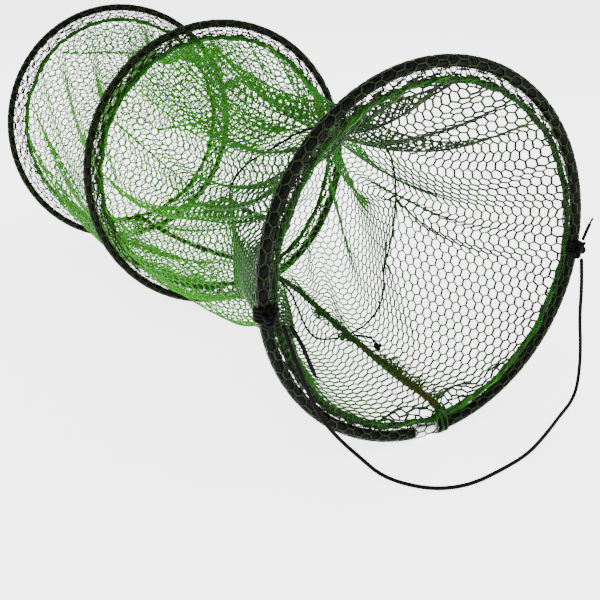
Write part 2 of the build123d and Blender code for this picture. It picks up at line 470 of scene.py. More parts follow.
def tube_material():
    """Glossy black plastic tube, faintly scuffed, with painted shade that darkens its grooves
    where the net presses in.
    """
    made, nodes, link, shader = material("black_tube")
    tone = nodes.new("ShaderNodeAttribute")
    tone.attribute_name = "tone"
    place = coordinates(nodes, link)
    fine = noise(nodes, link, place, 700, 4)
    broad = noise(nodes, link, place, 45, 3)
    # painted shade: the tone is low in the grooves under the net's threads, which makes them
    # darker
    colour = ramp(
        nodes,
        link,
        tone.outputs["Fac"],
        [(0.0, (0.0006, 0.0016, 0.0006)), (1.0, (0.0014, 0.0018, 0.0015))],
    )
    scuffs = remap(nodes, link, fine, 0.58, 0.78, 0, 0.4)
    colour = mix(nodes, link, scuffs, colour, (0.006, 0.009, 0.006))
    link(colour, shader.inputs["Base Color"])
    shader.inputs["Specular IOR Level"].default_value = 0.035
    rough = remap(nodes, link, broad, 0.3, 0.7, 0.22, 0.36)
    link(rough, shader.inputs["Roughness"])
    bump(nodes, link, fine, shader, 0.25, 0.0003)
    return made


def joint_material():
    """Milky clear plastic sleeve."""
    made, nodes, link, shader = material("clear_joint")
    place = coordinates(nodes, link)
    fine = noise(nodes, link, place, 350, 3)
    colour = ramp(
        nodes, link, fine, [(0.3, (0.62, 0.65, 0.62)), (0.7, (0.86, 0.88, 0.86))]
    )
    link(colour, shader.inputs["Base Color"])
    shader.inputs["Roughness"].default_value = 0.22
    shader.inputs["Subsurface Weight"].default_value = 0.3
    shader.inputs["Subsurface Scale"].default_value = 0.004
    bump(nodes, link, fine, shader, 0.2, 0.0003)
    return made


def wire_material():
    """Bright drawn spring wire with fine rust-brown staining."""
    made, nodes, link, shader = material("spring_wire")
    place = coordinates(nodes, link)
    drawn = noise(nodes, link, place, 500, 4)
    colour = ramp(
        nodes,
        link,
        drawn,
        [(0.3, (0.30, 0.29, 0.27)), (0.6, (0.55, 0.55, 0.54)), (0.8, (0.33, 0.24, 0.16))],
    )
    link(colour, shader.inputs["Base Color"])
    shader.inputs["Metallic"].default_value = 1.0
    rough = remap(nodes, link, drawn, 0.3, 0.7, 0.25, 0.45)
    link(rough, shader.inputs["Roughness"])
    bump(nodes, link, drawn, shader, 0.2, 0.0002)
    return made


CORD = cord_material()
TUBE = tube_material()
JOINT = joint_material()
WIRE = wire_material()


# ------------------------------------------------------------------ how pieces fold and ride

FRONT_TRAVEL, FRONT_BAY = 359, 377  # how far the middle hoop slides, and the length it folds
REAR_TRAVEL, REAR_BAY = 279.8, 297.8


def bay_fold(joint, hoop, travel, bay):
    """How a bay's net folds towards the hoop in front of it."""
    anchor = (0, hoop.y * MM, 0)
    return {"joint": joint, "axis": (0, 1, 0), "anchor": anchor, "keep": 1 - travel / bay}


FRONT_FOLD = bay_fold("mid_hoop_slide", MOUTH, FRONT_TRAVEL, FRONT_BAY)
REAR_FOLD = bay_fold("tail_hoop_slide", MIDDLE, REAR_TRAVEL, REAR_BAY)


def finish_piece(piece, body, nodes, fold=None):
    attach(piece, body)
    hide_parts(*nodes)
    if fold:
        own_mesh(piece)
    return piece


# ------------------------------------------------------------------ cords

# (x, distance behind the mouth's plane, height), from the right-hand knot round to the left
HANDLE_DIAMETER = 3.1
HANDLE_ROUTE = [
    (151.5, -10.5, 133), (154.5, -11.5, 109), (156, -11, 80), (160, -12.5, 50),
    (161.5, -12.5, 27), (158, -14.5, 9.5), (146, -20, 1.6), (121, -33, 1.6),
    (87, -52, 1.6), (50, -70, 1.6), (15, -78, 1.6), (-18, -83, 1.6),
    (-44, -76, 1.6), (-61, -58, 1.6), (-73, -41, 5), (-84, -30, 17.5),
    (-97, -22, 32), (-111, -18.5, 51), (-120.5, -15.5, 73), (-128, -14, 94),
    (-134.5, -12.5, 113), (-139.5, -11, 130.5),
]
RIGHT_TAIL_ROUTE = [(150.5, -10.5, 150), (152.5, -11.5, 157), (156.5, -11, 163.5)]
LEFT_TAIL_ROUTE = [
    (-136, -15, 131), (-129, -19, 117), (-123.5, -18.5, 103), (-118, -18, 91),
]
# (x, distance behind the throat's plane, height), once round the throat
DRAW_DIAMETER = 1.9
DRAW_ROUTE = [
    (37, 0, 18), (51, 1, 19.5), (67, 2, 26.5), (80, 3, 40),
    (85.5, 4, 58), (84, 5, 79), (91, 5, 99), (95, 4, 126),
    (95.5, 3, 155), (91.5, 3, 185), (79, 4, 210), (52, 6, 223.5),
    (20, 7, 229), (-10, 8, 226), (-38, 8, 213), (-66, 7, 202.5),
    (-83.5, 5, 186), (-86.5, 3, 163), (-80, 1, 139), (-66, 1, 113),
    (-43, 2, 95.5), (-24.5, 3, 77), (-14.5, 3, 53), (-5.5, 2, 30),
    (9, 1, 17.5), (29.5, 0, 17.5),
]
DRAW_TAIL_ROUTE = [
    (36, -5, 19.5), (42, -15, 23), (46, -27, 25), (45, -39, 25.5),
    (41, -51, 24),
]


def from_plane(route, plane_y):
    return [(x, plane_y + along, z) for x, along, z in route]


def braid_ripple(points, diameter, sides, pitch):
    """How a braid of two crossing sets of strands scales a cord's radius."""
    steps = np.linalg.norm(np.diff(points, axis=0), axis=1)
    travelled = np.concatenate([[0], np.cumsum(steps)])[:, None]
    angle = TURN * (np.arange(sides) + 0.5) / sides
    turn = TURN * travelled / (pitch * diameter)
    left = np.abs(np.cos(2 * angle + turn))
    right = np.abs(np.cos(2 * angle - turn))
    return (0.95 + 0.07 * np.maximum(left, right))[None]


def cord_mesh(threads, points, diameter, step, sides=14):
    """Sweeps a braided cord along a line of points."""
    count = max(4, int(path_length(points) / step))
    points = evenly(points, count)
    ripple = braid_ripple(points, diameter, sides, 2.3)
    threads.add(points, diameter / 2, sides, ripple=ripple)
    return points


def frayed_end(threads, point, direction, diameter, length, seed):
    """Loose fibres that spread from a cut cord end."""
    random = np.random.default_rng(seed)
    direction = unit(np.array(direction, float))
    for _ in range(9):
        spread = unit(direction + random.normal(0, 0.28, 3))
        reach = length * random.uniform(0.6, 1.0)
        start = point + random.normal(0, diameter * 0.16, 3)
        middle = start + direction * reach * 0.5
        end = middle + spread * reach * 0.5
        threads.add(evenly(np.array([start, middle, end]), 5), diameter * 0.13, 5)


def make_cord(name, route, diameter, node, body, facts, frayed=None, fold=None):
    """A braided cord along its route, and its frayed end."""
    points = smooth_line(route, name)
    threads = Threads()
    points = cord_mesh(threads, points, diameter, 0.25 * diameter)
    piece = threads.piece(name, CORD)
    finish_piece(piece, body, [node], fold)
    if frayed is not None:
        threads = Threads()
        direction = points[-1] - points[-4]
        frayed_end(threads, points[-1] - unit(direction) * 0.5, direction, *frayed)
        fibres = threads.piece(name + "_fray", CORD)
        finish_piece(fibres, body, [], fold)
        facts = dict(facts, with_pieces=[fibres])
    return piece, points


def overhand(centre, axis, size, turns=1.0):
    """The closed line of a small trefoil-shaped knot about axis."""
    angle = np.linspace(0, TURN, 90)
    x = np.sin(angle) + 2 * np.sin(2 * angle)
    y = np.cos(angle) - 2 * np.cos(2 * angle)
    z = -np.sin(3 * angle) * turns
    turned = Vector(axis).to_track_quat("Z", "Y").to_matrix()
    points = np.stack([x, y, z * 1.3], 1) * size / 3
    return points @ np.array(turned).T + np.array(centre)


def hoop_wraps(hoop, angle, turns, diameter, pitch, slack=0.25):
    """Cord wound round the hoop's tube at an angle from the bottom, as an open line."""
    reach = hoop.tube + 0.9 + diameter / 2 + slack
    phase = np.linspace(0, TURN * turns, int(26 * turns))
    shift = (phase / TURN - turns / 2) * pitch / hoop.radius
    radius = hoop.radius + reach * np.cos(phase)
    return hoop.place(angle + shift, radius, -reach * np.sin(phase))


def make_handle_knot(side, angle, tail_node, tail_route, seed):
    """Three turns round the hoop and a bunched hitch in front of it, where the handle leaves."""
    name = "handle_knot_" + side
    threads = Threads()
    wraps = hoop_wraps(MOUTH, angle, 3.6, HANDLE_DIAMETER, HANDLE_DIAMETER * 0.92)
    cord_mesh(threads, smoothed(wraps, 2), HANDLE_DIAMETER, 0.8)
    front = MOUTH.tube + HANDLE_DIAMETER * 1.4
    for radial, rise, tip, size in ((1.5, 1.5, 0.3, 4.4), (-2.5, -3.0, -0.4, 3.9)):
        centre = MOUTH.place(angle + rise / MOUTH.radius, MOUTH.radius + radial, -front)
        knot = overhand(centre, (tip, -1.0, 0.4 * tip), size)
        cord_mesh(threads, knot, HANDLE_DIAMETER, 0.8)
    nodes = [name]
    if tail_node:
        tail = smooth_line(tail_route, tail_node)
        tail = cord_mesh(threads, tail, HANDLE_DIAMETER * 0.9, 0.8)
        direction = tail[-1] - tail[-4]
        frayed_end(threads, tail[-1], direction, HANDLE_DIAMETER, 6.5, seed)
        nodes.append(tail_node)
    finish_piece(threads.piece(name, CORD), "mouth_hoop", nodes)


RIGHT_KNOT_ANGLE = math.radians(90 - 5.2)
LEFT_KNOT_ANGLE = math.radians(-90 + 6.5)
right_tail = from_plane(RIGHT_TAIL_ROUTE, MOUTH.y)
make_handle_knot("right", RIGHT_KNOT_ANGLE, "handle_tail_right", right_tail, 31)
make_handle_knot("left", LEFT_KNOT_ANGLE, None, None, 32)
make_cord(
    "handle_cord",
    from_plane(HANDLE_ROUTE, MOUTH.y),
    HANDLE_DIAMETER,
    "handle_cord",
    "mouth_hoop",
    {"far_end": "object", "stiffness": "medium", "lay": "hanging"},
)
make_cord(
    "handle_tail_left",
    from_plane(LEFT_TAIL_ROUTE, MOUTH.y),
    HANDLE_DIAMETER,
    "handle_tail_left",
    "mouth_hoop",
    {"far_end": "bare", "stiffness": "medium", "lay": "hanging"},
    frayed=(HANDLE_DIAMETER, 6.0, 33),
)


def make_draw_knot():
    """The tight knot that closes the draw cord's loop."""
    low, high = box_mm("draw_cord_knot")
    centre = (low + high) / 2
    threads = Threads()
    for axis, size, rise in (((1, 0.4, 0.2), 3.3, 0.4), ((0.5, -1, 0.3), 2.7, -0.8)):
        knot = overhand(centre + np.array([0, 0, rise]), axis, size)
        cord_mesh(threads, knot, DRAW_DIAMETER, 0.5, 10)
    piece = threads.piece("draw_cord_knot", CORD)
    return finish_piece(piece, "draw_cord", ["draw_cord_knot"])


draw_knot = make_draw_knot()
_, draw_line = make_cord(
    "draw_cord",
    from_plane(DRAW_ROUTE, THROAT_Y),
    DRAW_DIAMETER,
    "draw_cord",
    "draw_cord",
    {
        "far_end": "knot",
        "stiffness": "limp",
        "lay": "hanging",
        "with_pieces": [draw_knot],
    },
)


# ------------------------------------------------------------------ netting

SIDE = 5.5  # the length of one thread side of a mesh
FRONT_CHAINS = 114  # zigzag threads that run from hoop to hoop in the front bay
REAR_CHAINS = 106  # and in the rear bay, which is less slack
THREAD = 0.92  # the radius of a thread in the mouth, where the twine is coarsest
OPEN_WIDTH = math.sqrt(3) * SIDE


def lattice(chains, nodes):
    """The sides of a hexagonal net as groups of (from, to, length, stiffness): first the weaker
    ones that keep a mesh open, then the threads themselves."""
    chain, node = np.meshgrid(np.arange(chains), np.arange(nodes), indexing="ij")

    def index(at_chain, at_node):
        return (at_chain % chains) * nodes + at_node

    barred = (chain + node) % 2 == 0
    keep_open = []
    for start in range(4):
        here = (node < nodes - 2) & (node % 4 == start)
        keep_open.append((index(chain, node)[here], index(chain, node + 2)[here], OPEN_WIDTH))
    for step in (1, -1):
        here = barred & (node + step >= 0) & (node + step < nodes)
        first, second = index(chain, node)[here], index(chain + 1, node + step)[here]
        keep_open.append((first, second, OPEN_WIDTH))
        first, second = index(chain, node + step)[here], index(chain + 1, node)[here]
        keep_open.append((first, second, OPEN_WIDTH))
    keep_open.append((index(chain, node)[~barred], index(chain + 1, node)[~barred], 2 * SIDE))
    threads = []
    for start in (0, 1):
        here = (node < nodes - 1) & (node % 2 == start)
        threads.append((index(chain, node)[here], index(chain, node + 1)[here], SIDE))
    threads.append((index(chain, node)[barred], index(chain + 1, node)[barred], SIDE))
    return keep_open, threads


def relax(places, free, pull, openness, steps, sweeps=6, drag=0.9, floor=1.0):
    """Lets the net hang: threads keep their length, meshes try to stay open, held nodes stay."""
    chains, nodes, _ = places.shape
    keep_open, threads = lattice(chains, nodes)
    now = places.reshape(-1, 3).copy()
    loose = free.reshape(-1).astype(float)
    speed = np.zeros_like(now)
    groups = [(*group, openness) for group in keep_open]
    groups += [(*group, 1.0) for group in threads]
    weights = []
    for first, second, length, stiffness in groups:
        share = loose[first] + loose[second] + 1e-9
        weights.append((loose[first] / share * stiffness, loose[second] / share * stiffness))
    for _ in range(steps):
        speed *= drag
        speed[:, 2] -= pull * loose
        before = now.copy()
        now += speed * loose[:, None]
        for _ in range(sweeps):
            for (first, second, length, _), (one, other) in zip(groups, weights):
                gap = now[second] - now[first]
                reach = np.sqrt(np.einsum("ij,ij->i", gap, gap)) + 1e-9
                error = (reach - length) / reach
                now[first] += gap * (error * one)[:, None]
                now[second] -= gap * (error * other)[:, None]
        low = (now[:, 2] < floor) & (loose > 0)
        now[low, 2] = floor
        speed = now - before
    return now.reshape(chains, nodes, 3)


def lacing_radius(hoop, angle):
    """The lacing's distance from the hoop's axis: it lies nearer to the tube on the right and
    at the bottom, and nowhere quite evenly."""
    top = (1 - np.cos(angle)) / 2
    near = {"mouth": 4.0 * (1 - top**3), "mid": 0.0, "tail": 6.0 * top**3}[hoop.name]
    return hoop.lacing + near + 0.8 * wave(angle, int(hoop.y) % 97, 5, 24)


def lacing_ring(hoop, along, chains):
    """Where each chain of a net is laced, starting at the seam."""
    angle = hoop.seam + TURN * np.arange(chains) / chains
    return hoop.place(angle, lacing_radius(hoop, angle), along)


# the seam: (x, distance behind the hoop that it starts at, height)
FRONT_SEAM_ROUTE = [
    (14.5, 1, 20.5), (15.0, 8, 23.8), (21.0, 47, 21.5), (27.5, 90, 20.8),
    (30.5, 135, 22.0), (31.5, 180, 27.0), (33.0, 215, 31.5), (36.5, 250, 34.0),
    (41.5, 285, 34.5), (46.0, 320, 32.5), (49.5, 364, 31.5), (51.0, 374, 29.5),
]
REAR_SEAM_ROUTE = [
    (51.0, 2, 29.5), (49.0, 10, 31.0), (44.0, 55, 26.0), (36.0, 105, 22.5),
    (27.5, 150, 21.5), (20.5, 195, 22.5), (16.0, 240, 24.0), (12.5, 287, 26.5),
    (11.5, 296, 26.0),
]
front_seam = smooth_line(from_plane(FRONT_SEAM_ROUTE, MOUTH.y), "front_seam_line")
rear_seam = smooth_line(from_plane(REAR_SEAM_ROUTE, MIDDLE.y), "rear_seam_line")


def pin_to_seam(places, free, seam):
    """Holds the first chain of a net on its seam, with the chain's zigzag squeezed."""
    line = evenly(np.vstack([places[0, :1], seam, places[0, -1:]]), places.shape[1])
    places[0] = line
    free[0] = False


# where round the hoops each gathered chain of the front net lies, and where round the draw cord
GATHER_HOOP = (0, 0.14, 0.20, 0.32, 0.47, 0.70, 0.85, 1)
GATHER_CORD = (0, 0.15, 0.26, 0.36, 0.46, 0.65, 0.83, 1)


def front_net():
    """The front bay's net, laced to two hoops and pulled into a throat by the draw cord."""
    before, behind = 38, 41
    chains = FRONT_CHAINS
    fine = evenly(np.vstack([draw_line, draw_line[:1]]), 1301)
    share = np.interp(np.arange(chains) / chains, GATHER_HOOP, GATHER_CORD)
    loop = fine[np.round(share * 1300).astype(int)]
    mouth = lacing_ring(MOUTH, 1.6, chains)
    middle = lacing_ring(MIDDLE, -1.6, chains)
    share = np.arange(before + 1)[None, :, None] / before
    first = mouth[:, None] * (1 - share) + loop[:, None] * share
    share = np.arange(1, behind + 1)[None, :, None] / behind
    second = loop[:, None] * (1 - share) + middle[:, None] * share
    places = np.concatenate([first, second], 1)
    random = np.random.default_rng(3)
    places[:, 1:-1] += random.normal(0, 0.6, places[:, 1:-1].shape)
    free = np.ones(places.shape[:2], bool)
    free[:, 0] = free[:, -1] = False
    for share in GATHER_HOOP[1:-1]:
        chain = int(round(share * chains)) % chains
        free[chain, before] = False
        places[chain, before] = loop[chain]
    pin_to_seam(places, free, front_seam)
    steps = 240
    return relax(places, free, 0.05, 0.35, steps)


def rear_net():
    """The catch chamber's net, drawn nearly tight between the middle and tail hoops."""
    nodes = 61
    start = lacing_ring(MIDDLE, 1.6, REAR_CHAINS)
    end = lacing_ring(TAIL, -1.6, REAR_CHAINS)
    share = np.linspace(0, 1, nodes)[None, :, None]
    places = start[:, None] * (1 - share) + end[:, None] * share
    random = np.random.default_rng(5)
    places[:, 1:-1] += random.normal(0, 0.6, places[:, 1:-1].shape)
    free = np.ones(places.shape[:2], bool)
    free[:, 0] = free[:, -1] = False
    pin_to_seam(places, free, rear_seam)
    steps = 180
    return relax(places, free, 0.03, 0.25, steps)


def net_painted_light_and_tone(points, seed):
    """Painted shade that darkens the net in the mouth and fades to brighter green from the throat
    on, painted light that brightens the left side and the bottom, and lighter and darker chains at
    random.
    """
    along = (points[..., 1] - MOUTH.y) / LENGTH
    # painted light: the net's bottom is painted lighter
    low = np.clip((MOUTH.z - 90 - points[..., 2]) / 60, 0, 1) * 0.25
    # painted light: the left side, where the lamps fall, is painted lighter
    left = 0.18 * np.clip(-points[..., 0] / 120, -0.6, 1)
    random = np.random.default_rng(seed)
    patchy = random.normal(0, 0.07, points.shape[:1])[:, None]
    # painted shade: the net in the mouth is painted near black, and it turns lighter green from
    # the throat back
    green = np.interp(along, [0, 0.2, 0.4, 0.6, 1], [0.03, 0.3, 0.78, 0.78, 0.68])
    return np.clip(green + left + low + patchy, 0, 1)


def thread_radius(points):
    """The twine is coarse in the mouth and finer, pulled tight, towards the tail."""
    along = (points[..., 1] - MOUTH.y) / LENGTH
    return THREAD * np.interp(along, [0, 0.22, 0.5, 1], [1, 0.95, 0.86, 0.84])


def add_bars(threads, places, closed, seed):
    """The short threads that tie each chain to the next."""
    chains, nodes, _ = places.shape
    chain, node = np.meshgrid(np.arange(chains), np.arange(nodes), indexing="ij")
    here = ((chain + node) % 2 == 0) & (node > 0) & (node < nodes - 1)
    if not closed:
        here &= chain < chains - 1
    first = places[chain[here], node[here]]
    second = places[(chain[here] + 1) % chains, node[here]]
    bars = np.stack([first, (first + second) / 2, second], 1)
    radius = thread_radius(bars) * np.array([[0.95, 1.1, 0.95]])
    threads.add(bars, radius, tone=net_painted_light_and_tone(bars, seed))


def add_fold(threads, places, chain_share, node_share, depth, seed):
    """A second thickness where the net is folded over on itself, up to depth inside the first."""
    chains, nodes, _ = places.shape
    picked = np.arange(int(chain_share[0] * chains), int(chain_share[1] * chains)) % chains
    start, end = int(node_share[0] * nodes), int(node_share[1] * nodes)
    part = places[picked, start:end]
    part = (part[:, :-1] + part[:, 1:]) / 2
    part = (part[:-1] + part[1:]) / 2
    inward = np.array([0.0, 0.0, MOUTH.z]) - part
    inward[..., 1] = 0
    rise = np.sin(np.linspace(0, math.pi, part.shape[0]))[:, None, None]
    rise = rise * np.sin(np.linspace(0.15, math.pi - 0.15, part.shape[1]))[None, :, None]
    ragged = np.random.default_rng(seed).normal(0, 0.2, part.shape)
    part = part + unit(inward) * depth * rise + ragged
    threads.add(part, thread_radius(part), tone=net_painted_light_and_tone(part, seed))
    add_bars(threads, part, False, seed + 1)


def net_threads(places, folds, seed):
    """Chains and the bars that tie them, as round threads, with the net's folds."""
    threads = Threads()
    threads.add(places, thread_radius(places), tone=net_painted_light_and_tone(places, seed))
    add_bars(threads, places, True, seed + 1)
    for number, fold in enumerate(folds):
        add_fold(threads, places, *fold, seed + 10 + 2 * number)
    return threads



def make_wall(name, places, folds, body, fold, seed):
    piece = net_threads(places, folds, seed).piece(name, NET)
    finish_piece(piece, body, [name], fold)
    return piece


front_places = front_net()
rear_places = rear_net()
make_wall(
    "front_wall_net",
    front_places,
    [((0.42, 0.58), (0.56, 0.99), 8.0)],
    "mouth_hoop",
    FRONT_FOLD,
    41,
)
make_wall(
    "rear_wall_net",
    rear_places,
    [((0.86, 0.99), (0.12, 0.88), 7.0)],
    "mid_hoop",
    REAR_FOLD,
    43,
)


# ------------------------------------------------------------------ hems, tubes and lacings

HEM_CHAINS = 100  # the hem's meshes lie along the tube, so its chains are far apart
HEM_NODES = 20
HEM_THREAD = 0.38  # pulled tight over the tube, the hem's threads are thin
HEM_WEB_THREAD = HEM_THREAD * 1.75  # and thicker where they hang slack inside it


def hem_section(hoop):
    """The net's way round the tube's cross-section, from the lacing's front to its back, as
    (distance from the hoop's axis, distance behind its plane)."""
    reach = hoop.tube + HEM_THREAD
    start = hoop.lacing - hoop.radius
    depth = 0.9
    away = math.hypot(start, depth)
    touch = math.acos(reach / away)
    facing = math.atan2(-depth, start)
    first = facing + touch
    arc = np.linspace(first, TURN - first, 60)
    section = [(start, -depth)]
    section += [(reach * math.cos(a), reach * math.sin(a)) for a in arc]
    section.append((start, depth))
    section = np.array(section)
    section[:, 0] += hoop.radius
    return section


def hem_places(hoop, seed):
    """The lattice of the hem: chains that go round the tube, a little uneven."""
    section = hem_section(hoop)
    flat = np.stack([section[:, 0], section[:, 1], np.zeros(len(section))], 1)
    flat = evenly(flat, HEM_NODES)
    random = np.random.default_rng(seed)
    chain, node = np.meshgrid(np.arange(HEM_CHAINS), np.arange(HEM_NODES), indexing="ij")
    pitch = TURN * hoop.radius / HEM_CHAINS
    zigzag = np.where((chain + node) % 2 == 0, pitch / 6, -pitch / 6)
    slip = random.normal(0, 0.8, chain.shape)
    slip[:, 1:-1] = (slip[:, :-2] + slip[:, 1:-1] + slip[:, 2:]) / 2
    free = np.clip((hoop.radius - hoop.tube - flat[None, :, 0]) / 5, 0, 1)
    slip = slip + free * random.normal(0, 1.6, chain.shape)
    angle = hoop.seam + TURN * chain / HEM_CHAINS + (zigzag + slip) / hoop.radius
    radial = flat[None, :, 0] + free * (lacing_radius(hoop, angle) - hoop.lacing)
    radial = radial + free * random.normal(0, 1.0, chain.shape)
    return hoop.place(angle, radial, flat[None, :, 1])


def between(places, count):
    """Extra points along each chain, which the caller lays over the tube."""
    chains, nodes, _ = places.shape
    share = np.arange(count)[None, None, :, None] / count
    points = places[:, :-1, None] * (1 - share) + places[:, 1:, None] * share
    points = points.reshape(chains, (nodes - 1) * count, 3)
    return np.concatenate([points, places[:, -1:]], 1)


def lift_over_tube(hoop, points, clear):
    """Moves points that lie inside the tube's cover out to its surface."""
    x, z = points[..., 0], points[..., 2] - hoop.z
    around = np.arctan2(x, -z)
    radius = np.hypot(x, z) - hoop.radius
    along = points[..., 1] - hoop.y
    reach = np.hypot(radius, along)
    scale = np.maximum(clear / (reach + 1e-9), 1)
    return hoop.place(around, hoop.radius + radius * scale, along * scale)


def hem_threads(hoop, seed):
    """The hem's chains and bars as lines of points that lie over the tube."""
    places = hem_places(hoop, seed)
    clear = hoop.tube + HEM_THREAD
    lines = lift_over_tube(hoop, between(places, 2), clear)
    chain, node = np.meshgrid(np.arange(HEM_CHAINS), np.arange(HEM_NODES), indexing="ij")
    here = (chain + node) % 2 == 0
    first = places[chain[here], node[here]][:, None]
    second = places[(chain[here] + 1) % HEM_CHAINS, node[here]][:, None]
    share = np.linspace(0, 1, 5)[None, :, None]
    return lines, lift_over_tube(hoop, first * (1 - share) + second * share, clear)


def web_share(hoop, points):
    """0 on the tube and 1 where the hem's two layers lie flat together inside it."""
    reach = np.hypot(points[..., 0], points[..., 2] - hoop.z)
    return np.clip((hoop.radius - hoop.tube - reach) / 2, 0, 1)


def make_hem(hoop, seed):
    """The strip of net turned over the tube, and the tube itself, which bulges in its meshes."""
    lines, bars = hem_threads(hoop, seed)
    threads = Threads()
    random = np.random.default_rng(seed + 1)
    for strands, light in ((lines, 0.42), (bars, 0.48)):
        flat = web_share(hoop, strands)
        # painted shade: strands where the hem's two layers lie flat inside the tube are painted
        # darker
        tone = random.normal(light, 0.2, strands.shape[:2]) - 0.15 * flat
        radius = HEM_THREAD * (1 + 0.75 * flat)
        threads.add(strands, radius, tone=np.clip(tone, 0, 1))
    for strands in (*hem_threads(hoop, seed + 5), *hem_threads(hoop, seed + 6)):
        flat = web_share(hoop, strands)
        held = flat.min(1) > 0.2
        # painted shade: the web's slack strands are painted darker than those on the tube
        tone = np.clip(random.normal(0.3, 0.2, strands.shape[:2]), 0, 1)
        threads.add(strands[held], HEM_WEB_THREAD, tone=tone[held])
    piece = threads.piece(hoop.name + "_hem_net", HEM)
    finish_piece(piece, hoop.body, [hoop.name + "_hem_net"])

    tree = kdtree.KDTree(lines[..., 0].size + bars[..., 0].size)
    samples = np.concatenate([lines.reshape(-1, 3), bars.reshape(-1, 3)])
    for number, point in enumerate(samples):
        tree.insert(point, number)
    tree.balance()
    gap = [math.asin(x / hoop.radius) for x in hoop.joint]
    angle = np.linspace(gap[1] - 0.004, gap[0] + 0.004 + TURN, 860)[:, None]
    phase = TURN * np.arange(22)[None] / 22
    skin = hoop.place(
        angle, hoop.radius + hoop.tube * np.cos(phase), hoop.tube * np.sin(phase)
    )
    near = np.array([tree.find(point)[2] for point in skin.reshape(-1, 3)])
    near = near.reshape(skin.shape[:2])
    swell = np.clip((near - HEM_THREAD) / 1.9, 0, 1)
    swell = swell * swell * (3 - 2 * swell)
    outward = np.clip(0.3 + np.cos(phase), 0, 1)
    reach = hoop.tube - 0.45 + 1.15 * swell * outward
    skin = hoop.place(angle, hoop.radius + reach * np.cos(phase), reach * np.sin(phase))
    threads = Threads()
    # the swell, given as tone, paints shade into the tube's grooves
    threads.add_surface(skin, tone=swell, closed=(False, True))
    tube = threads.piece(hoop.name + "_hoop_tube", TUBE)
    finish_piece(tube, hoop.body, [hoop.name + "_hoop_tube"])


def bundle(
    threads, centre_line, outward, upward, closed, count, spread, radius, turns, seed, light=0.45
):
    """Strands that wind loosely together along a line. light is how light their colour is."""
    share = np.linspace(0, TURN, len(centre_line), endpoint=not closed)
    random = np.random.default_rng(seed)
    for strand in range(count):
        phase = TURN * strand / count + turns * share + 0.9 * wave(share, seed + strand, 5, 26)
        reach = spread * (0.75 + 0.4 * wave(share, seed + 50 + strand, 8, 40))
        offset = outward * (reach * np.cos(phase))[:, None]
        offset = offset + upward * (reach * np.sin(phase))[:, None]
        tone = np.clip(light + 0.3 * wave(share, seed + 90 + strand, 4, 30), 0, 1)
        size = radius * random.uniform(0.8, 1.2)
        threads.add(centre_line + offset, size, 5, closed, tone=tone[None])


def whipping(threads, centre_line, outward, upward, closed, spread, radius, turns, seed):
    """One thread that winds round a bundle again and again, unevenly."""
    per_turn = 9
    steps = len(centre_line)
    share = np.linspace(0, 1, turns * per_turn, endpoint=not closed)
    at = share * (steps if closed else steps - 1)
    low = np.floor(at).astype(int) % steps
    high = (low + 1) % steps
    part = (at - np.floor(at))[:, None]
    line = centre_line[low] * (1 - part) + centre_line[high] * part
    out = outward[low] * (1 - part) + outward[high] * part
    up = upward[low] * (1 - part) + upward[high] * part
    phase = TURN * turns * share + 0.8 * wave(TURN * share, seed, 20, 90)
    reach = spread * (1 + 0.22 * wave(TURN * share, seed + 1, 30, 120))
    offset = out * (reach * np.cos(phase))[:, None] + up * (reach * np.sin(phase))[:, None]
    tone = np.clip(0.6 + 0.3 * wave(TURN * share, seed + 2, 9, 60), 0, 1)
    threads.add(line + offset, radius, 4, closed, tone=tone[None])


def make_lacing(hoop, seed):
    """The cord that laces the hem shut and gathers the nets, a ring of loosely wound strands."""
    angle = TURN * np.arange(620) / 620
    radius = lacing_radius(hoop, angle) + 0.6 * wave(angle, seed, 12, 60)
    along = 0.6 * wave(angle, seed + 3, 6, 30)
    centre_line = hoop.place(angle, radius, along)
    outward = np.stack([np.sin(angle), np.zeros_like(angle), -np.cos(angle)], 1)
    upward = np.broadcast_to([0.0, 1.0, 0.0], outward.shape)
    threads = Threads()
    # painted light and shade: round the mouth hoop the lacing is painted lighter towards the top
    # and bottom and darker towards the sides
    light = 0.42 + 0.3 * np.cos(2 * (angle - 0.45)) if hoop is MOUTH else 0.72 + 0 * angle
    bundle(threads, centre_line, outward, upward, True, 5, 1.1, 0.8, 21, seed, light)
    bundle(threads, centre_line, outward, upward, True, 7, 2.4, 0.65, -13, seed + 20, light)
    whipping(threads, centre_line, outward, upward, True, 2.5, 0.5, 130, seed + 7)
    piece = threads.piece(hoop.name + "_hem_lacing", LACING)
    finish_piece(piece, hoop.body, [hoop.name + "_hem_lacing"])


for number, hoop in enumerate(HOOPS):
    make_hem(hoop, 100 + 10 * number)
    make_lacing(hoop, 200 + 10 * number)


# ------------------------------------------------------------------ seams and lashings


def loose_loops(threads, line, count, share, size, side, seed):
    """Slack meshes that stand in small loops on one side of a seam."""
    random = np.random.default_rng(seed)
    turn = np.linspace(-0.4, math.pi + 0.4, 9)[:, None]
    for _ in range(count):
        at = int(random.uniform(*share) * (len(line) - 2)) + 1
        reach = size * random.uniform(0.35, 1.0)
        ahead = unit(line[at + 1] - line[at - 1]) * min(reach, 4.5)
        lean = unit(random.normal(0, 0.6, 3) + [side, 0, 0.8]) * reach
        start = line[at] + random.normal(0, 0.8, 3)
        loop = start + ahead * np.cos(turn) * 0.6 + lean * np.sin(turn)
        threads.add(loop, 0.5, 5, tone=np.clip(random.normal(0.1, 0.15), 0, 1))


